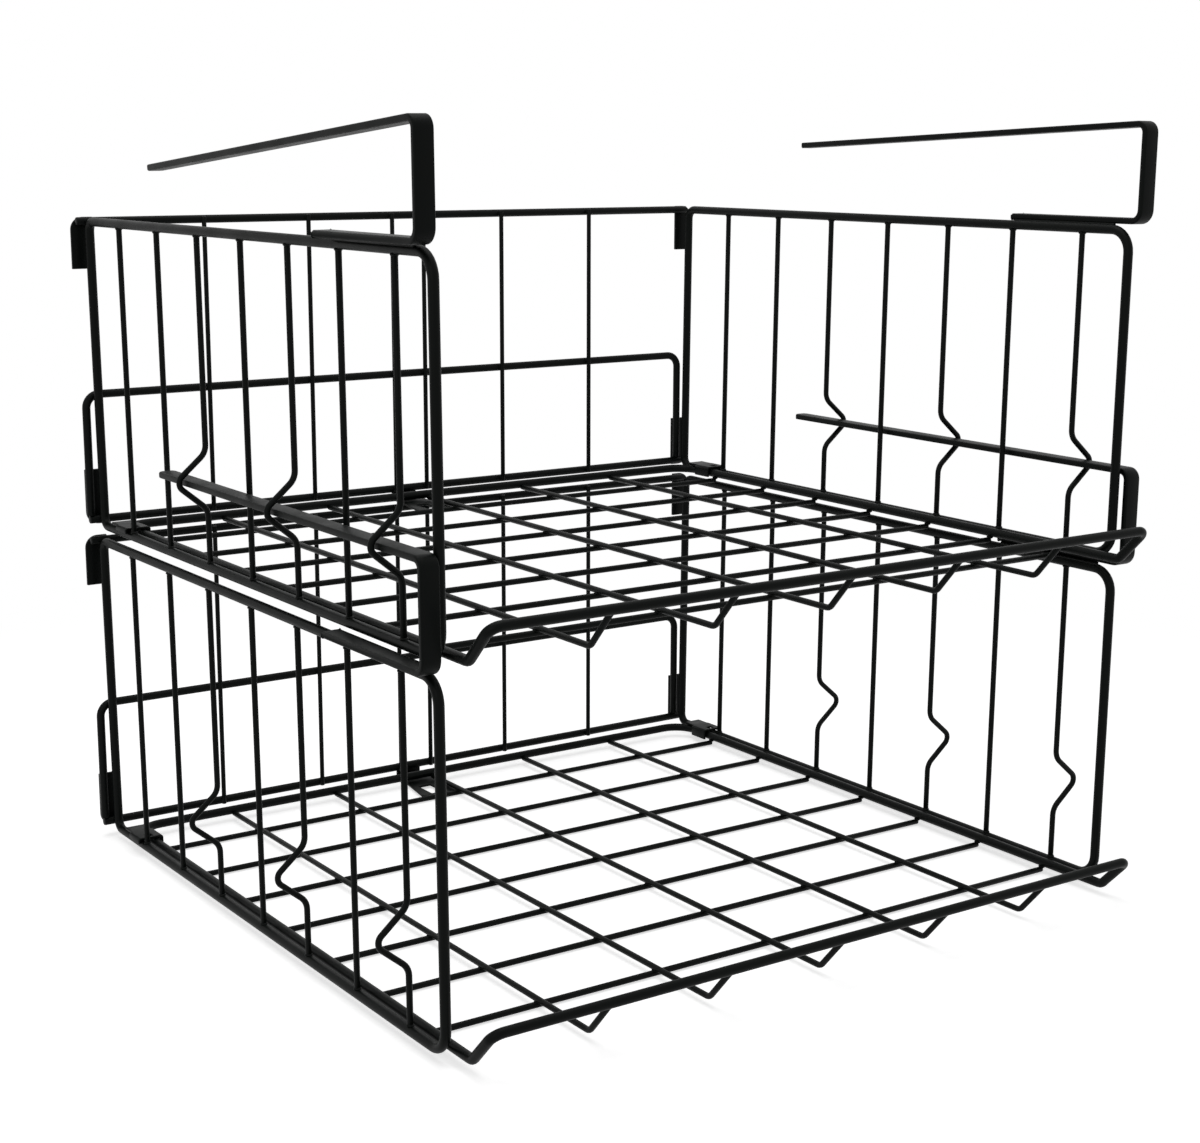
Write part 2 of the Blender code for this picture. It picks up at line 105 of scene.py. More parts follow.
world = bpy.data.worlds.new("studio_room")
bpy.context.scene.world = world
world.use_nodes = True
tree = world.node_tree
tree.nodes.clear()
white = add_node(tree, "ShaderNodeBackground", {"Color": linear("#ffffff"), "Strength": 1.0})
dim = add_node(tree, "ShaderNodeBackground", {"Color": linear("#ffffff"), "Strength": ROOM_LIGHT})
room = add_node(tree, "ShaderNodeMixShader",
                {0: seen_rays(tree), 1: dim.outputs[0], 2: white.outputs[0]})
add_node(tree, "ShaderNodeOutputWorld", {"Surface": room.outputs[0]})

paper = bpy.data.materials.new("white_paper")
paper.use_nodes = True
tree = paper.node_tree
tree.nodes.clear()
matt = add_node(tree, "ShaderNodeBsdfDiffuse", {"Color": linear("#e6e6e6")})
glow = add_node(tree, "ShaderNodeEmission", {"Color": linear("#ffffff"), "Strength": PAPER_GLOW})
plain = add_node(tree, "ShaderNodeEmission", {"Color": linear("#ffffff"), "Strength": 1.0})
seen = seen_rays(tree)
nothing = add_node(tree, "ShaderNodeEmission", {"Strength": 0.0})
lift = add_node(tree, "ShaderNodeMixShader", {0: seen, 1: nothing.outputs[0], 2: glow.outputs[0]})
near = add_node(tree, "ShaderNodeAddShader", {0: matt.outputs[0], 1: lift.outputs[0]})
far = add_node(tree, "ShaderNodeMixShader", {0: seen, 1: matt.outputs[0], 2: plain.outputs[0]})
place = add_node(tree, "ShaderNodeTexCoord")
length = add_node(tree, "ShaderNodeVectorMath", {0: place.outputs["Object"]}, operation="LENGTH")
away = add_node(tree, "ShaderNodeMapRange",
                {"Value": length.outputs["Value"], "From Min": PAPER_LIT_FROM, "From Max": PAPER_LIT_TO},
                interpolation_type="SMOOTHSTEP")
blend = add_node(tree, "ShaderNodeMixShader",
                 {0: away.outputs[0], 1: near.outputs[0], 2: far.outputs[0]})
add_node(tree, "ShaderNodeOutputMaterial", {"Surface": blend.outputs[0]})
bm = bmesh.new()
bmesh.ops.create_grid(bm, x_segments=1, y_segments=1, size=PAPER_SIZE / 2)
bmesh.ops.translate(bm, verts=bm.verts, vec=(0, 0, -PAPER_DROP))
mesh = bpy.data.meshes.new("paper")
bm.to_mesh(mesh)
bm.free()
mesh.materials.append(paper)
floor = bpy.data.objects.new("paper", mesh)
bpy.context.scene.collection.objects.link(floor)

SOFTBOX_AIM = Vector((0, 0, 0.12))
SOFTBOXES = {                   # place, size and watts
    "softbox_above": ((-0.1, 0.1, 1.5), 1.2, 9.0),
    "softbox_left": ((-1.6, -0.9, 0.9), 0.8, 3.0),
}
for name, (spot, size, watts) in SOFTBOXES.items():
    lamp = bpy.data.lights.new(name, "AREA")
    lamp.size = size
    lamp.energy = watts
    holder = bpy.data.objects.new(name, lamp)
    bpy.context.scene.collection.objects.link(holder)
    aim = SOFTBOX_AIM - Vector(spot)
    holder.matrix_world = Matrix.Translation(spot) @ aim.to_track_quat("-Z", "Y").to_matrix().to_4x4()


# The side frames: a ring of 3.9 mm steel wire for each side, bent at its four corners, its ends
# butt-welded, and coated with the whole basket. Each leans out by half a degree.
SPAN = 0.320                    # between the bottom rails of a basket's two side frames
DEPTH = 0.295
HEIGHT = 0.133
LEAN = radians(0.5)
FRAME_WIRE = 0.0039
FRAME_BENDS = (0.009, 0.0045, 0.0045, 0.009)   # front top, back top, back bottom, front bottom
FRAME_SIDES = 20
FRONT_POSTS = -0.1391           # along Y
BOTTOM_RAILS = {"upper": 0.14425, "lower": 0.00425}   # centre lines above the ground
SIDES = {"left": -1, "right": 1}
BEND_STEP = radians(12.0)       # of a bend, for each of its facets
FEWEST_BEND_STEPS = 3
NEAR = 0.00001                  # what lies closer than this is in the same place
SMOOTH_BELOW = radians(40.0)    # faces that meet at a smaller angle are shaded as one curve


def satin_coat(name, colour, roughness):
    """Polyester powder coating, baked on: near-black, satin, with a faint orange peel."""
    peel_mm = 0.9               # real peel is 0.3 to 1 mm across; the coarse end of it shows here
    peel_depth = 0.00003
    peel_strength = 0.25
    cloud_mm = 14.0             # the powder lies a little thicker in some places
    cloud_low, cloud_high = 0.3, 0.7
    roughness_swing = 0.05
    lightening = 1.6            # of the colour, where the powder lies thickest
    coat = bpy.data.materials.new(name)
    coat.use_nodes = True
    tree = coat.node_tree
    shader = tree.nodes["Principled BSDF"]
    shader.inputs["IOR"].default_value = 1.5
    shader.inputs["Specular IOR Level"].default_value = 0.07    # dulled, as the photograph shows it
    shader.inputs["Metallic"].default_value = 0.0
    place = add_node(tree, "ShaderNodeTexCoord").outputs["Object"]
    peel = add_node(tree, "ShaderNodeTexNoise",
                    {"Vector": place, "Scale": 1000 / peel_mm, "Detail": 2.0, "Roughness": 0.5})
    bump = add_node(tree, "ShaderNodeBump",
                    {"Height": peel.outputs[0], "Strength": peel_strength, "Distance": peel_depth})
    tree.links.new(bump.outputs[0], shader.inputs["Normal"])
    cloud = add_node(tree, "ShaderNodeTexNoise",
                     {"Vector": place, "Scale": 1000 / cloud_mm, "Detail": 3.0, "Roughness": 0.6})
    sheen = add_node(tree, "ShaderNodeMapRange",
                     {"Value": cloud.outputs[0], "From Min": cloud_low, "From Max": cloud_high,
                      "To Min": roughness - roughness_swing, "To Max": roughness + roughness_swing})
    tree.links.new(sheen.outputs[0], shader.inputs["Roughness"])
    dark = linear(colour)
    grey = [channel * lightening for channel in dark[:3]] + [1.0]
    tint = add_node(tree, "ShaderNodeMix", {0: cloud.outputs[0], 6: dark, 7: grey}, data_type="RGBA")
    tree.links.new(tint.outputs[2], shader.inputs["Base Color"])
    return coat


def each_once(parts):
    """A bmesh's edges or points, each once, in the order met, which is the same in every run."""
    return list(dict.fromkeys(parts))


def extruded(bm, edges, step):
    """The edges' copy one step further, joined to them by new faces."""
    made = bmesh.ops.extrude_edge_only(bm, edges=edges)["geom"]
    bmesh.ops.translate(bm, verts=[v for v in made if isinstance(v, bmesh.types.BMVert)], vec=step)
    return [e for e in made if isinstance(e, bmesh.types.BMEdge)]


def run_through(bm, section, corners, bends, closed=False):
    """Runs a section through its corners as a bending machine does: straight, then round each bend."""
    corners = [Vector(corner) for corner in corners]
    here = (corners[-1] + corners[0]) / 2 if closed else corners[0]
    stops = corners if closed else corners[1:-1]
    radii = bends if closed else bends[1:-1]
    end = here if closed else corners[-1]
    ahead = (stops[0] if stops else end) - here
    edges = section(bm, here, ahead.normalized())
    first = edges
    for index, (corner, radius) in enumerate(zip(stops, radii)):
        onward = stops[index + 1] if index + 1 < len(stops) else end
        before = (corner - here).normalized()
        after = (onward - corner).normalized()
        turn = before.angle(after)
        setback = radius * tan(turn / 2)
        edges = extruded(bm, edges, corner - before * setback - here)
        centre = corner + (after - before).normalized() * (radius / cos(turn / 2))
        steps = max(FEWEST_BEND_STEPS, ceil(turn / BEND_STEP))
        spun = bmesh.ops.spin(bm, geom=edges, cent=centre, axis=before.cross(after).normalized(),
                              angle=turn, steps=steps, use_duplicate=False)
        edges = [e for e in spun["geom_last"] if isinstance(e, bmesh.types.BMEdge)]
        here = corner + after * setback
    edges = extruded(bm, edges, end - here)
    if closed:
        seam = each_once(v for e in first + edges for v in e.verts)
        bmesh.ops.remove_doubles(bm, verts=seam, dist=NEAR)
        return []
    return [first, edges]


def round_section(diameter, sides):
    """Section of a round wire: a circle square to the wire."""
    def section(bm, here, ahead):
        turn = ahead.to_track_quat("Z", "Y").to_matrix().to_4x4()
        ring = bmesh.ops.create_circle(bm, cap_ends=False, segments=sides, radius=diameter / 2,
                                       matrix=Matrix.Translation(here) @ turn)["verts"]
        return each_once(e for v in ring for e in v.link_edges)
    return section


def closed_off(bm, ends, chamfer):
    """Cut ends of a wire or bar: a flat face with its edge rounded off."""
    faces = [bmesh.ops.contextual_create(bm, geom=end)["faces"][0] for end in ends]
    edges = each_once(e for face in faces for e in face.edges)
    bmesh.ops.bevel(bm, geom=edges, offset=chamfer, segments=2, profile=0.5,
                    affect="EDGES", material=-1)


def dressed(name, bm, place, coat):
    """Finished piece from its bmesh, moved to its place in the model, with smooth round faces."""
    bmesh.ops.transform(bm, matrix=place, verts=bm.verts)
    bmesh.ops.recalc_face_normals(bm, faces=bm.faces)
    mesh = bpy.data.meshes.new(name)
    bm.to_mesh(mesh)
    bm.free()
    mesh.shade_smooth()
    mesh.set_sharp_from_angle(angle=SMOOTH_BELOW)
    mesh.materials.append(coat)
    piece = bpy.data.objects.new(name, mesh)
    bpy.context.scene.collection.objects.link(piece)
    return piece


def basket_place(basket):
    """From a basket's own frame, at its front posts and bottom rails, to the model's."""
    return Matrix.Translation((0, FRONT_POSTS, BOTTOM_RAILS[basket]))


def side_place(basket, outward):
    """From a leaning side's own frame, X outward or inward from its ring, to the model's."""
    foot = Matrix.Translation((outward * SPAN / 2, 0, 0))
    return basket_place(basket) @ foot @ Matrix.Rotation(outward * LEAN, 4, "Y")


frame_coat = satin_coat("black_satin_powder_coat_on_frame_wire", "#050706", 0.42)
for basket in BOTTOM_RAILS:
    for side, outward in SIDES.items():
        bm = bmesh.new()
        ring = [(0, 0, 0), (0, DEPTH, 0), (0, DEPTH, HEIGHT), (0, 0, HEIGHT)]
        run_through(bm, round_section(FRAME_WIRE, FRAME_SIDES), ring[::-1], FRAME_BENDS, closed=True)
        piece = dressed(f"{basket}_{side}_ring", bm, side_place(basket, outward), frame_coat)
        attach(piece, f"{basket}_basket")
        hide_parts(f"{basket}_{side}_frame")


# The side wires: seven 2.4 mm steel wires in each side frame, cut to length and resistance-welded
# between its rails. Wires 1, 3 and 5 from the front are pressed into a notch for an arm's tongue.
THIN_WIRE = 0.0024
THIN_SIDES = 14
FIRST_WIRE = 0.025
WIRE_PITCH = 0.03945
WIRE_COUNT = 7
NOTCHED = (1, 3, 5)
NOTCH_HEIGHT = 0.0350
NOTCH_POINT = 0.01366           # where the notch's two legs would meet
NOTCH_HALF_HEIGHT = 0.01147
NOTCH_BENDS = (0.0065, 0.0035, 0.0065)
WIRE_SINK = 0.0008              # how far a wire's end is pressed into the rail
THIN_CHAMFER = 0.0002
WIRE_WELD = (0.0016, 0.0017, 0.0008)   # half sizes


def weld(bm, middle, half_sizes):
    """Small smooth bead of a resistance weld."""
    shape = Matrix.Translation(middle) @ Matrix.Diagonal((*half_sizes, 1.0))
    bmesh.ops.create_uvsphere(bm, u_segments=10, v_segments=6, radius=1.0, matrix=shape)


wire_coat = satin_coat("black_satin_powder_coat_on_thin_wire", "#060807", 0.44)
for basket in BOTTOM_RAILS:
    for side, outward in SIDES.items():
        for number in range(1, WIRE_COUNT + 1):
            along = FIRST_WIRE + (number - 1) * WIRE_PITCH
            rail = FRAME_WIRE / 2 - WIRE_SINK
            corners = [(0, along, rail), (0, along, HEIGHT - rail)]
            bends = [0, 0]
            if number in NOTCHED:
                corners[1:1] = [(0, along, NOTCH_HEIGHT - NOTCH_HALF_HEIGHT),
                                (outward * NOTCH_POINT, along, NOTCH_HEIGHT),
                                (0, along, NOTCH_HEIGHT + NOTCH_HALF_HEIGHT)]
                bends[1:1] = NOTCH_BENDS
            bm = bmesh.new()
            ends = run_through(bm, round_section(THIN_WIRE, THIN_SIDES), corners, bends)
            closed_off(bm, ends, THIN_CHAMFER)
            for height in (FRAME_WIRE / 2, HEIGHT - FRAME_WIRE / 2):
                weld(bm, (0, along, height), WIRE_WELD)
            place = side_place(basket, outward)
            piece = dressed(f"{basket}_{side}_side_wire_{number}", bm, place, wire_coat)
            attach(piece, f"{basket}_basket")
            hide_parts(f"{basket}_{side}_wire_{number}")


# The arms: 7.5 by 2.5 mm flat steel bar with rolled edges, bent twice. The foot is seam-welded along the
# top rail, the upright stands before the front post and the tongue lies on top of the shelf.
BAR_WIDTH = 0.0075
BAR_THICKNESS = 0.0025
BAR_ROUNDING = 0.0007
BAR_MIDDLE = 0.004878           # outward from the ring's centre line
FOOT_HEIGHT = 0.1365
TONGUE_HEIGHT = 0.1750
ARM_UPRIGHT = -0.0035           # along Y, its centre line
FOOT_END = 0.067
TONGUE_END = 0.209
FOOT_BEND = 0.0045
TOP_BEND = 0.0035
TIP_ROUNDING = 0.0020           # over this length the tongue's corners are ground round
TIP_STEPS = 6
TIP_SWEEP = radians(78.0)       # of the corner's arc, up to the blunt end
UPPER_DROOPS = {"left": radians(4.9), "right": radians(2.5)}   # the lower tongues are straight
SEAM_WIDTH = 0.0016             # weld seam between foot and rail
SEAM_SIDES = 12
SEAM_UNDER_FOOT = SEAM_WIDTH / 6
SEAM_IN_RAIL = SEAM_WIDTH / 8
SEAM_SHORT = 0.002              # of the foot's cut end
SEAM_CHAMFER = SEAM_WIDTH / 4
FOOT_CHAMFER = BAR_ROUNDING / 2


def bar_section(width, thickness, rounding):
    """Section of a flat bar, its width along X: a unit square, stretched and its corners rounded."""
    def section(bm, here, ahead):
        across = Vector((1, 0, 0))
        axes = Matrix((across, ahead.cross(across), ahead)).transposed().to_4x4()
        shape = Matrix.Diagonal((width, thickness, 1, 1)) @ Matrix.Rotation(pi / 4, 4, "Z")
        corners = bmesh.ops.create_circle(bm, cap_ends=False, segments=4, radius=sqrt(0.5),
                                          matrix=Matrix.Translation(here) @ axes @ shape)["verts"]
        made = bmesh.ops.bevel(bm, geom=corners, offset=rounding, segments=4, profile=0.5,
                               affect="VERTICES", material=-1)
        return each_once(e for v in made["verts"] for e in v.link_edges)
    return section


def ground_tip(bm, edges, middle, ahead):
    """Rounds a bar's end in plan: its last stretch is drawn in from both edges, step by step."""
    about = Matrix.Translation((-middle, 0, 0))
    done = 0.0
    share = 1.0
    for step in range(1, TIP_STEPS + 1):
        angle = TIP_SWEEP * step / TIP_STEPS
        reach = TIP_ROUNDING * sin(angle)
        narrower = 1 - (1 - cos(angle)) * 2 * TIP_ROUNDING / BAR_WIDTH
        edges = extruded(bm, edges, ahead * (reach - done))
        verts = each_once(v for e in edges for v in e.verts)
        bmesh.ops.scale(bm, verts=verts, vec=(narrower / share, 1, 1), space=about)
        done, share = reach, narrower
    return edges


bar_coat = satin_coat("black_satin_powder_coat_on_flat_bar", "#030504", 0.45)
for basket in BOTTOM_RAILS:
    for side, outward in SIDES.items():
        slope = UPPER_DROOPS[side] if basket == "upper" else 0.0
        straight = TONGUE_END - TIP_ROUNDING
        middle = outward * BAR_MIDDLE
        corners = [(middle, FOOT_END, FOOT_HEIGHT), (middle, ARM_UPRIGHT, FOOT_HEIGHT),
                   (middle, ARM_UPRIGHT, TONGUE_HEIGHT),
                   (middle, straight, TONGUE_HEIGHT - (straight - ARM_UPRIGHT) * tan(slope))]
        bm = bmesh.new()
        section = bar_section(BAR_WIDTH, BAR_THICKNESS, BAR_ROUNDING)
        foot, tongue = run_through(bm, section, corners, [0, FOOT_BEND, TOP_BEND, 0])
        tip = ground_tip(bm, tongue, middle, Vector((0, cos(slope), -sin(slope))))
        closed_off(bm, [foot], FOOT_CHAMFER)
        bmesh.ops.contextual_create(bm, geom=tip)
        beside = outward * (BAR_MIDDLE - BAR_WIDTH / 2 + SEAM_UNDER_FOOT)
        seam_height = HEIGHT + FRAME_WIRE / 2 - SEAM_IN_RAIL
        seam = [(beside, FOOT_END - SEAM_SHORT, seam_height), (beside, FRAME_BENDS[0], seam_height)]
        ends = run_through(bm, round_section(SEAM_WIDTH, SEAM_SIDES), seam, [0, 0])
        closed_off(bm, ends, SEAM_CHAMFER)
        piece = dressed(f"{basket}_{side}_hanging_arm", bm, side_place(basket, outward), bar_coat)
        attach(piece, f"{basket}_basket")
        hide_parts(f"{basket}_{side}_arm")


# The floor rim: one bent and butt-welded ring of 3.9 mm steel wire round the floor, just inside the side
# frames' bottom rails. At the front it turns up and forward into the lip that keeps things in.
RIM_INSET = 0.0052
RIM_RISE = 0.0004
RIM_BACK = 0.288
FLOOR_FRONT = 0.009
LIP_REACH = 0.0225
LIP_RISE = 0.0144
RIM_BENDS = (0.0045, 0.004, 0.012, 0.012, 0.004, 0.0045)   # lip, turn-up and back, then as before
for basket in BOTTOM_RAILS:
    edge = SPAN / 2 - RIM_INSET
    left = [(-edge, -LIP_REACH, LIP_RISE), (-edge, -FLOOR_FRONT, RIM_RISE), (-edge, RIM_BACK, RIM_RISE)]
    right = [(-x, y, z) for x, y, z in left[::-1]]
    bm = bmesh.new()
    run_through(bm, round_section(FRAME_WIRE, FRAME_SIDES), left + right, RIM_BENDS, closed=True)
    piece = dressed(f"{basket}_rim_ring", bm, basket_place(basket), frame_coat)
    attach(piece, f"{basket}_basket")
    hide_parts(f"{basket}_floor_rim")


# The floor wires: seven 2.4 mm cross wires welded under the rim, and five long wires welded on top of
# them. The long wires turn up at the front and their ends are welded to the lip.
CROSS_HEIGHT = -0.00305
LONG_HEIGHT = -0.00095
LONG_WIRES = 5
TURN_UP_BEND = 0.004
FLOOR_CHAMFER = 0.0004
RIM_WELD = (0.0013, 0.0016, 0.0008)
CROSSING_WELD = (0.0015, 0.0015, 0.0007)
LIP_WELD = (0.0017, 0.0012, 0.0012)
for basket in BOTTOM_RAILS:
    edge = SPAN / 2 - RIM_INSET
    bm = bmesh.new()
    places = [FIRST_WIRE + index * WIRE_PITCH for index in range(WIRE_COUNT)]
    for along in places:
        ends = run_through(bm, round_section(THIN_WIRE, THIN_SIDES),
                           [(-edge, along, CROSS_HEIGHT), (edge, along, CROSS_HEIGHT)], [0, 0])
        closed_off(bm, ends, FLOOR_CHAMFER)
        for across in (-edge, edge):
            weld(bm, (across, along, CROSS_HEIGHT + THIN_WIRE / 2), RIM_WELD)
    lip = Vector((0, -LIP_REACH, LIP_RISE))
    slope = (lip - Vector((0, -FLOOR_FRONT, LONG_HEIGHT))).normalized()
    lip_end = lip - slope * (FRAME_WIRE / 2 - WIRE_SINK)
    back_end = RIM_BACK - FRAME_WIRE / 2 + WIRE_SINK
    for index in range(LONG_WIRES):
        across = SPAN * ((index + 1) / (LONG_WIRES + 1) - 1 / 2)
        corners = [(across, back_end, LONG_HEIGHT), (across, -FLOOR_FRONT, LONG_HEIGHT),
                   (across, *lip_end.yz)]
        ends = run_through(bm, round_section(THIN_WIRE, THIN_SIDES), corners, [0, TURN_UP_BEND, 0])
        closed_off(bm, ends, THIN_CHAMFER)
        for along in places:
            weld(bm, (across, along, (CROSS_HEIGHT + LONG_HEIGHT) / 2), CROSSING_WELD)
        weld(bm, (across, *(lip_end - slope * WIRE_SINK).yz), LIP_WELD)
    piece = dressed(f"{basket}_floor_wires", bm, basket_place(basket), wire_coat)
    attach(piece, f"{basket}_basket")
    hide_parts(f"{basket}_floor_grid")


# The back's rails: two straight 3.6 mm wires behind the side frames' back posts, their ends cropped and
# tumbled. They run from just past the hoop's left leg to just past the right post.
BACK_WIRE = 0.0036
BACK_PLANE = 0.29905
BACK_BOTTOM = 0.0025
HOOP_LEGS = (-0.1648, 0.1572)   # the back sits 3.8 mm to the left, as in the photograph
RAIL_OVERHANG = 0.0008
RAIL_CHAMFER = 0.0005
BACK_RAILS = {                  # height, and the posts' distance from the middle there
    "top": (HEIGHT, SPAN / 2 + HEIGHT * tan(LEAN)),
    "bottom": (BACK_BOTTOM, SPAN / 2),
}
for basket in BOTTOM_RAILS:
    for level, (height, post) in BACK_RAILS.items():
        bm = bmesh.new()
        ends = run_through(bm, round_section(BACK_WIRE, FRAME_SIDES),
                           [(HOOP_LEGS[0] - RAIL_OVERHANG, BACK_PLANE, height),
                            (post + RAIL_OVERHANG, BACK_PLANE, height)], [0, 0])
        closed_off(bm, ends, RAIL_CHAMFER)
        piece = dressed(f"{basket}_{level}_rail_of_back", bm, basket_place(basket), frame_coat)
        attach(piece, f"{basket}_basket")
        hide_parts(f"{basket}_back_{level}_rail")


# The back's hoop and uprights: a 3.6 mm hoop stands on the bottom rail's ends, and six 2.1 mm
# uprights, two of them close together in the middle, are welded across the hoop and both rails.
HOOP_RISE = 0.058
HOOP_BEND = 0.006
UPRIGHT_WIRE = 0.0021
UPRIGHT_PLANE = 0.2965
UPRIGHT_PLACES = (-0.10732, -0.0558, -0.0122, 0.0046, 0.0482, 0.09972)
UPRIGHT_LAP = 0.0012            # past a rail's centre line
UPRIGHT_WELD = (0.0014, 0.0006, 0.0013)
for basket in BOTTOM_RAILS:
    bm = bmesh.new()
    foot = BACK_BOTTOM + BACK_WIRE / 2
    left, right = HOOP_LEGS
    hoop = [(left, BACK_PLANE, foot), (left, BACK_PLANE, HOOP_RISE),
            (right, BACK_PLANE, HOOP_RISE), (right, BACK_PLANE, foot)]
    ends = run_through(bm, round_section(BACK_WIRE, FRAME_SIDES), hoop, [0, HOOP_BEND, HOOP_BEND, 0])
    closed_off(bm, ends, RAIL_CHAMFER)
    for across in UPRIGHT_PLACES:
        ends = run_through(bm, round_section(UPRIGHT_WIRE, THIN_SIDES),
                           [(across, UPRIGHT_PLANE, BACK_BOTTOM - UPRIGHT_LAP),
                            (across, UPRIGHT_PLANE, HEIGHT + UPRIGHT_LAP)], [0, 0])
        closed_off(bm, ends, THIN_CHAMFER)
        for height in (BACK_BOTTOM, HOOP_RISE, HEIGHT):
            weld(bm, (across, UPRIGHT_PLANE + UPRIGHT_WIRE / 2, height), UPRIGHT_WELD)
    piece = dressed(f"{basket}_hoop_and_uprights", bm, basket_place(basket), wire_coat)
    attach(piece, f"{basket}_basket")
    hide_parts(f"{basket}_back_grid")


# The corner plates: four 1.5 mm steel plates spot-welded behind the ends of the back's rails, each
# with its outer corner rounded and its stamped edges broken.
PLATE_WIDTH = 0.0098
PLATE_OUTSET = 0.001
PLATE_FRONT = 0.30115
PLATE_THICKNESS = 0.0015
PLATE_ROUNDING = 0.0055
STAMPED_EDGE = 0.00025
CUT_EDGE_ANGLE = radians(60)    # a sheet's folds turn less than this from face to face
TOP_PLATE_HEIGHT = 0.0223
BOTTOM_PLATE_HEIGHT = 0.0245
PLATES = {                      # low and high edge
    "top": (HEIGHT + BACK_WIRE / 2 - TOP_PLATE_HEIGHT, HEIGHT + BACK_WIRE / 2),
    "bottom": (0.0, BOTTOM_PLATE_HEIGHT),
}
PLATE_WELD = (0.0013, 0.0006, 0.0010)
PLATE_WELD_PLACES = (-0.0022, 0.0022)   # along the rail, from the post


def sheet_metal(bm, thickness, facing):
    """Gives a cut or folded sheet its thickness, behind the side facing one way, and breaks its edges."""
    bmesh.ops.recalc_face_normals(bm, faces=bm.faces)
    if sum(face.normal.dot(facing) * face.calc_area() for face in bm.faces) < 0:
        bmesh.ops.reverse_faces(bm, faces=bm.faces)
    bmesh.ops.solidify(bm, geom=list(bm.faces), thickness=thickness)
    bmesh.ops.recalc_face_normals(bm, faces=bm.faces)
    sharp = [edge for edge in bm.edges if edge.calc_face_angle() > CUT_EDGE_ANGLE]
    bmesh.ops.bevel(bm, geom=sharp, offset=STAMPED_EDGE, segments=2, profile=0.5,
                    affect="EDGES", material=-1)


sheet_coat = satin_coat("black_satin_powder_coat_on_sheet", "#040605", 0.46)
for basket in BOTTOM_RAILS:
    for side, outward in SIDES.items():
        for level, (low, high) in PLATES.items():
            bm = bmesh.new()
            rail_height, post = BACK_RAILS[level]
            post *= outward
            middle = post + outward * PLATE_OUTSET
            upright = Matrix.Rotation(pi / 2, 4, "X")
            size = Matrix.Diagonal((PLATE_WIDTH, 1, high - low, 1))
            spot = Matrix.Translation((middle, PLATE_FRONT, (low + high) / 2))
            blank = spot @ size @ upright
            bmesh.ops.create_grid(bm, x_segments=1, y_segments=1, size=0.5, matrix=blank)
            round_height = high if level == "top" else low
            corner = min(bm.verts, key=lambda v: abs(v.co.z - round_height) - outward * v.co.x)
            bmesh.ops.bevel(bm, geom=[corner], offset=PLATE_ROUNDING, segments=8, profile=0.5,
                            affect="VERTICES", material=-1)
            sheet_metal(bm, PLATE_THICKNESS, Vector((0, -1, 0)))
            for aside in PLATE_WELD_PLACES:
                weld(bm, (post + aside, PLATE_FRONT, rail_height), PLATE_WELD)
            place = basket_place(basket)
            piece = dressed(f"{basket}_{side}_{level}_corner_plate", bm, place, sheet_coat)
            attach(piece, f"{basket}_basket")
            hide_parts(f"{basket}_{side}_{level}_plate")


# The side clips: saddles of 1 mm steel sheet folded over the floor rim and the side frame's bottom rail,
# just behind the last side wire. Each is slotted in front and runs on behind its legs as a flat tail.
CLIP_THICKNESS = 0.0010
CLIP_INNER = -0.00845           # outward from the side frame's bottom rail
CLIP_OUTER = 0.00325
CLIP_TOP = 0.00365
CLIP_INNER_LEG_END = -0.00155
CLIP_OUTER_LEG_END = 0.0012
CLIP_FRONT = 0.2637
CLIP_LEG_LENGTH = 0.0112        # along the rail
CLIP_TAIL = 0.0075
CLIP_FOLD = 0.0013              # outside radius
CLIP_SLOT = ((-0.0042, 0.0014), (-0.0010, 0.0046))   # two corners: outward from the rail, from the front


def cut_across(bm, spot, facing):
    """Divides a sheet's faces along a plane through a spot."""
    sheet = list(bm.verts) + list(bm.edges) + list(bm.faces)
    bmesh.ops.bisect_plane(bm, geom=sheet, dist=NEAR, plane_co=spot, plane_no=facing)


def slotted(bm, low, high):
    """Punches a square slot, from its low to its high corner, out of a level sheet."""
    for axis in (0, 1):
        across = Vector((1 - axis, axis, 0))
        for corner in (low, high):
            cut_across(bm, corner, across)
    inside = [face for face in bm.faces
              if all(low[axis] < face.calc_center_median()[axis] < high[axis] for axis in (0, 1))]
    bmesh.ops.delete(bm, geom=inside, context="FACES")


def folded(bm, edges, axis, centre, onward):
    """Folds a sheet's edge by a right angle about a line, and runs on from there."""
    spun = bmesh.ops.spin(bm, geom=edges, cent=centre, axis=axis, angle=pi / 2, steps=6,
                          use_duplicate=False)
    line = [e for e in spun["geom_last"] if isinstance(e, bmesh.types.BMEdge)]
    return extruded(bm, line, onward)


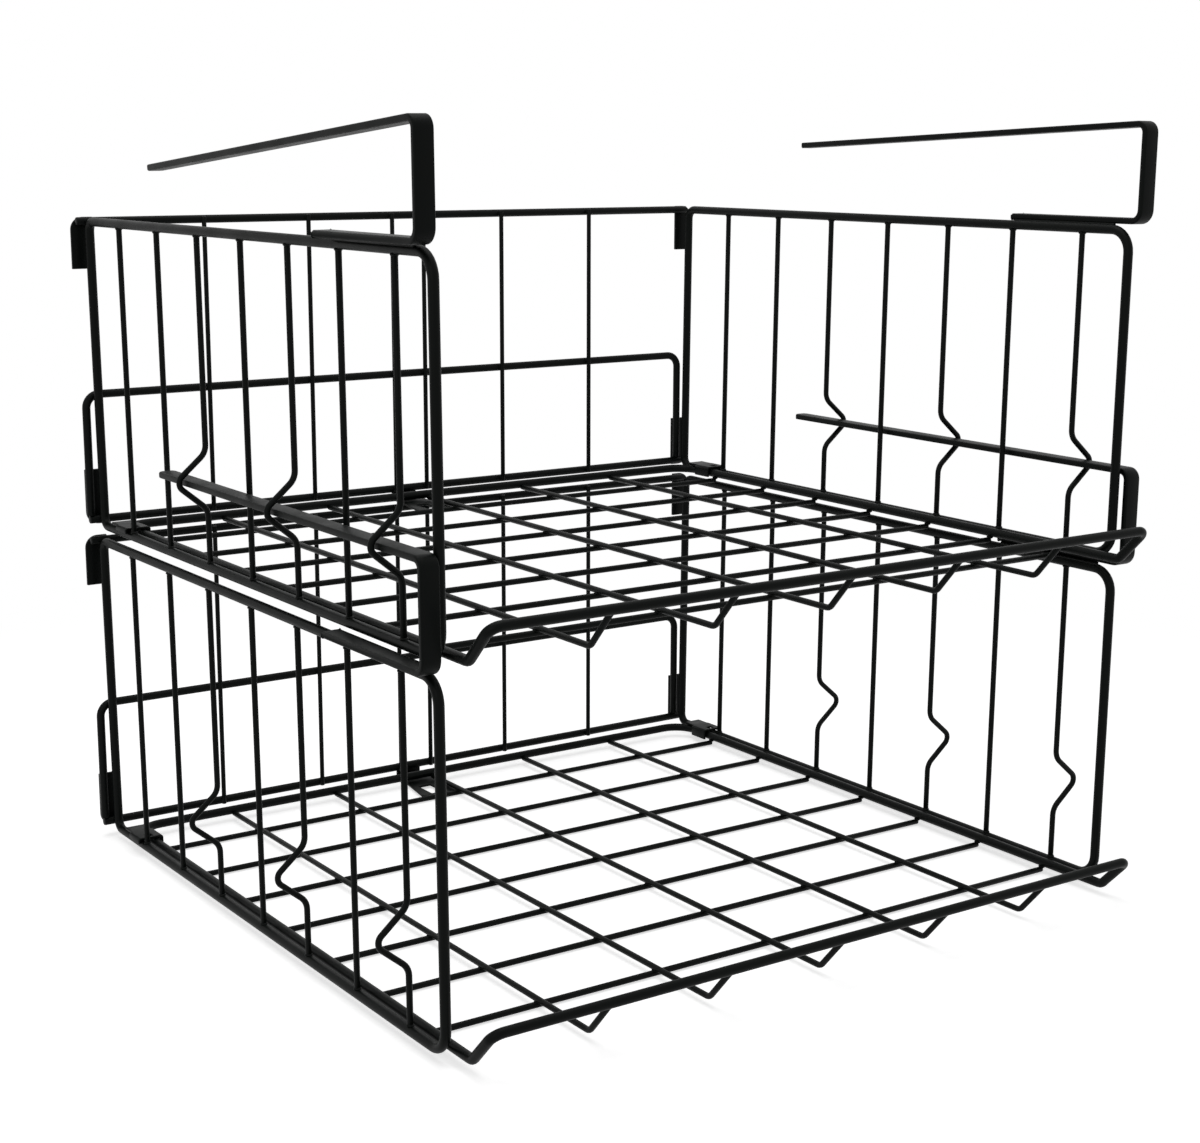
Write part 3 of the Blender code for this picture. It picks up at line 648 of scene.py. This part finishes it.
for basket in BOTTOM_RAILS:
    for side, outward in SIDES.items():
        bm = bmesh.new()
        left, right = sorted((outward * CLIP_INNER, outward * CLIP_OUTER))
        legs_back = CLIP_FRONT + CLIP_LEG_LENGTH
        back = legs_back + CLIP_TAIL
        size = Matrix.Diagonal((right - left - 2 * CLIP_FOLD, back - CLIP_FRONT, 1, 1))
        spot = Matrix.Translation(((left + right) / 2, (CLIP_FRONT + back) / 2, CLIP_TOP))
        bmesh.ops.create_grid(bm, x_segments=1, y_segments=1, size=0.5, matrix=spot @ size)
        cut_across(bm, (0, legs_back, 0), (0, 1, 0))
        slot = [Vector((outward * across, CLIP_FRONT + along, 0)) for across, along in CLIP_SLOT]
        low = (min(slot[0].x, slot[1].x), slot[0].y, 0)
        high = (max(slot[0].x, slot[1].x), slot[1].y, 0)
        slotted(bm, low, high)
        for way, fold in ((-1, left + CLIP_FOLD), (1, right - CLIP_FOLD)):
            edges = [e for e in bm.edges
                     if all(abs(v.co.x - fold) < NEAR and v.co.y < legs_back + NEAR for v in e.verts)]
            leg_end = CLIP_OUTER_LEG_END if way == outward else CLIP_INNER_LEG_END
            folded(bm, edges, (0, way, 0), (fold, 0, CLIP_TOP - CLIP_FOLD),
                   Vector((0, 0, leg_end - CLIP_TOP + CLIP_FOLD)))
        sheet_metal(bm, CLIP_THICKNESS, Vector((0, 0, 1)))
        place = basket_place(basket) @ Matrix.Translation((outward * SPAN / 2, 0, 0))
        piece = dressed(f"{basket}_{side}_saddle_clip", bm, place, sheet_coat)
        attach(piece, f"{basket}_basket")
        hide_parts(f"{basket}_{side}_side_clip")


# The centre clip: a slotted tongue of 1 mm steel sheet under the floor's back edge, wider towards its
# front left corner and folded up behind the back's bottom rail. It locks floor and back together.
LOCK_TOP = -0.00245
LOCK_FRONT = 0.2632
LOCK_SIDES = (-0.012, 0.001)
LOCK_FLARE = 0.0065             # to the left, at the front
LOCK_CORNER = 0.0035
LOCK_SLOT = ((-0.01225, 0.2662, 0), (-0.00575, 0.2792, 0))   # low and high corner
LOCK_EDGE_FACE = 0.30115        # front of the edge that is folded up
LOCK_EDGE_TOP = 0.00355
LOCK_FOLD = 0.0004              # inside radius
for basket in BOTTOM_RAILS:
    bm = bmesh.new()
    left, right = LOCK_SIDES
    fold = LOCK_EDGE_FACE - LOCK_FOLD
    size = Matrix.Diagonal((right - left, fold - LOCK_FRONT, 1, 1))
    spot = Matrix.Translation(((left + right) / 2, (LOCK_FRONT + fold) / 2, LOCK_TOP))
    bmesh.ops.create_grid(bm, x_segments=1, y_segments=1, size=0.5, matrix=spot @ size)
    front = sorted((v for v in bm.verts if v.co.y < LOCK_FRONT + NEAR), key=lambda v: v.co.x)
    bmesh.ops.translate(bm, verts=front[:1], vec=(-LOCK_FLARE, 0, 0))
    bmesh.ops.bevel(bm, geom=front, offset=LOCK_CORNER, segments=6, profile=0.5,
                    affect="VERTICES", material=-1)
    slotted(bm, *LOCK_SLOT)
    edges = [e for e in bm.edges if all(v.co.y > fold - NEAR for v in e.verts)]
    folded(bm, edges, (1, 0, 0), (0, fold, LOCK_TOP + LOCK_FOLD),
           Vector((0, 0, LOCK_EDGE_TOP - LOCK_TOP - LOCK_FOLD)))
    sheet_metal(bm, CLIP_THICKNESS, Vector((0, 0, 1)))
    piece = dressed(f"{basket}_centre_lock", bm, basket_place(basket), sheet_coat)
    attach(piece, f"{basket}_basket")
    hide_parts(f"{basket}_centre_clip")
